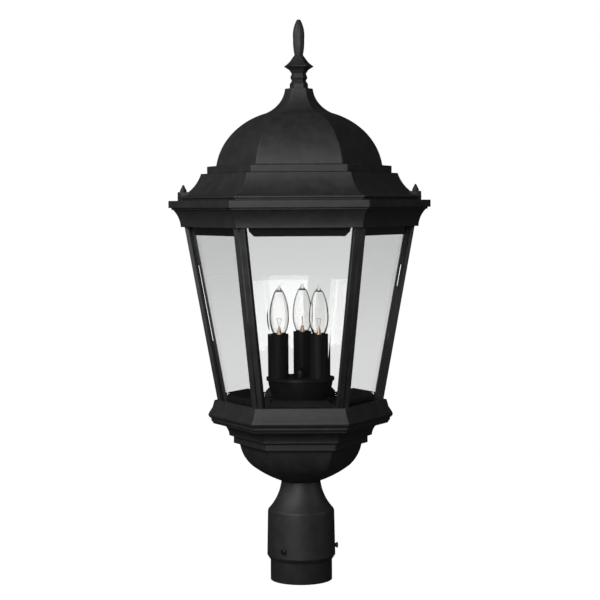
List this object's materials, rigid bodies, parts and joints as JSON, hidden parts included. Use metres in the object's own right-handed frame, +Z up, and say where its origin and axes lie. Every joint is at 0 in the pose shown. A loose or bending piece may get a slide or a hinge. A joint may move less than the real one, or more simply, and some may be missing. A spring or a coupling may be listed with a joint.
{
  "type": "post-top lantern",
  "caption": "Six-sided outdoor post-top lantern with a domed roof, leaning clear panes, candle lamps and a round collar that slips over a post.",
  "frame": {"origin": "centre of the collar's mouth, where the post goes in", "axes": "+Z up along the post, -Y out of the front flat, two opposite corners on the X axis"},
  "size_m": [0.3212, 0.2782, 0.6597],
  "materials": {
    "cast_black": "satin",
    "pane_glass": "polished",
    "dark_sheet": "satin",
    "black_screw": "satin",
    "zinc_steel": "satin",
    "candle_black": "matte",
    "phenolic": "satin",
    "bulb_glass": "polished",
    "bulb_brass": "satin",
    "filament_wire": "satin"
  },
  "bodies": {
    "lantern": {"post_fitter": "cast_black", "lower_bowl": "cast_black", "gallery_ring": "cast_black", "cornice_ring": "cast_black", "corner_bar_1": "cast_black", "corner_bar_2": "cast_black", "corner_bar_3": "cast_black", "corner_bar_4": "cast_black", "corner_bar_5": "cast_black", "corner_bar_6": "cast_black", "glass_pane_1": "pane_glass", "glass_pane_2": "pane_glass", "glass_pane_3": "pane_glass", "glass_pane_4": "pane_glass", "glass_pane_5": "pane_glass", "glass_pane_6": "pane_glass", "lower_glass_stops": "dark_sheet", "upper_glass_stops": "dark_sheet", "cluster_base": "dark_sheet", "cluster_cup": "dark_sheet", "cluster_cover": "dark_sheet", "cap_nut": "dark_sheet", "lower_stop_screws": "black_screw", "upper_stop_screws": "black_screw", "bar_foot_screws": "black_screw", "bar_head_screws": "black_screw", "centre_pipe": "zinc_steel", "pipe_locknut": "zinc_steel", "pipe_washer": "zinc_steel", "socket_stems": "zinc_steel", "socket_nuts": "zinc_steel", "candle_sleeve_1": "candle_black", "candle_sleeve_2": "candle_black", "candle_sleeve_3": "candle_black", "socket_1": "phenolic", "socket_2": "phenolic", "socket_3": "phenolic"},
    "roof": {"roof_brim": "cast_black", "roof_dome": "cast_black", "finial_washer": "zinc_steel", "finial_nut": "zinc_steel"},
    "finial": {"finial": "cast_black"},
    "knob_left": {"knob_left": "cast_black"},
    "knob_right": {"knob_right": "cast_black"},
    "bulb_1": {"bulb_1_glass": "bulb_glass", "bulb_1_base": "bulb_brass", "bulb_1_filament": "filament_wire"},
    "bulb_2": {"bulb_2_glass": "bulb_glass", "bulb_2_base": "bulb_brass", "bulb_2_filament": "filament_wire"},
    "bulb_3": {"bulb_3_glass": "bulb_glass", "bulb_3_base": "bulb_brass", "bulb_3_filament": "filament_wire"},
    "set_screw_1": {"set_screw_1": "black_screw"},
    "set_screw_2": {"set_screw_2": "black_screw"},
    "set_screw_3": {"set_screw_3": "black_screw"}
  },
  "joints": [
    {"name": "roof_lift", "type": "slide", "parent": "lantern", "child": "roof", "axis": [0, 0, 1], "range_m": [0, 0.12]},
    {"name": "finial_turn", "type": "hinge", "parent": "roof", "child": "finial", "pos_m": [0, 0, 0.58], "axis": [0, 0, 1], "continuous": true},
    {"name": "knob_left_turn", "type": "hinge", "parent": "roof", "child": "knob_left", "pos_m": [-0.14188, 0, 0.45], "axis": [0, 0, 1], "continuous": true},
    {"name": "knob_right_turn", "type": "hinge", "parent": "roof", "child": "knob_right", "pos_m": [0.14188, 0, 0.45], "axis": [0, 0, 1], "continuous": true},
    {"name": "bulb_1_lift", "type": "slide", "parent": "lantern", "child": "bulb_1", "axis": [0, 0, 1], "range_m": [0, 0.05]},
    {"name": "bulb_2_lift", "type": "slide", "parent": "lantern", "child": "bulb_2", "axis": [0, 0, 1], "range_m": [0, 0.05]},
    {"name": "bulb_3_lift", "type": "slide", "parent": "lantern", "child": "bulb_3", "axis": [0, 0, 1], "range_m": [0, 0.05]},
    {"name": "set_screw_1_travel", "type": "slide", "parent": "lantern", "child": "set_screw_1", "axis": [-0.5, -0.866, 0], "range_m": [-0.0009, 0.004]},
    {"name": "set_screw_2_travel", "type": "slide", "parent": "lantern", "child": "set_screw_2", "axis": [1, 0, 0], "range_m": [-0.0009, 0.004]},
    {"name": "set_screw_3_travel", "type": "slide", "parent": "lantern", "child": "set_screw_3", "axis": [-0.5, 0.866, 0], "range_m": [-0.0009, 0.004]}
  ]
}
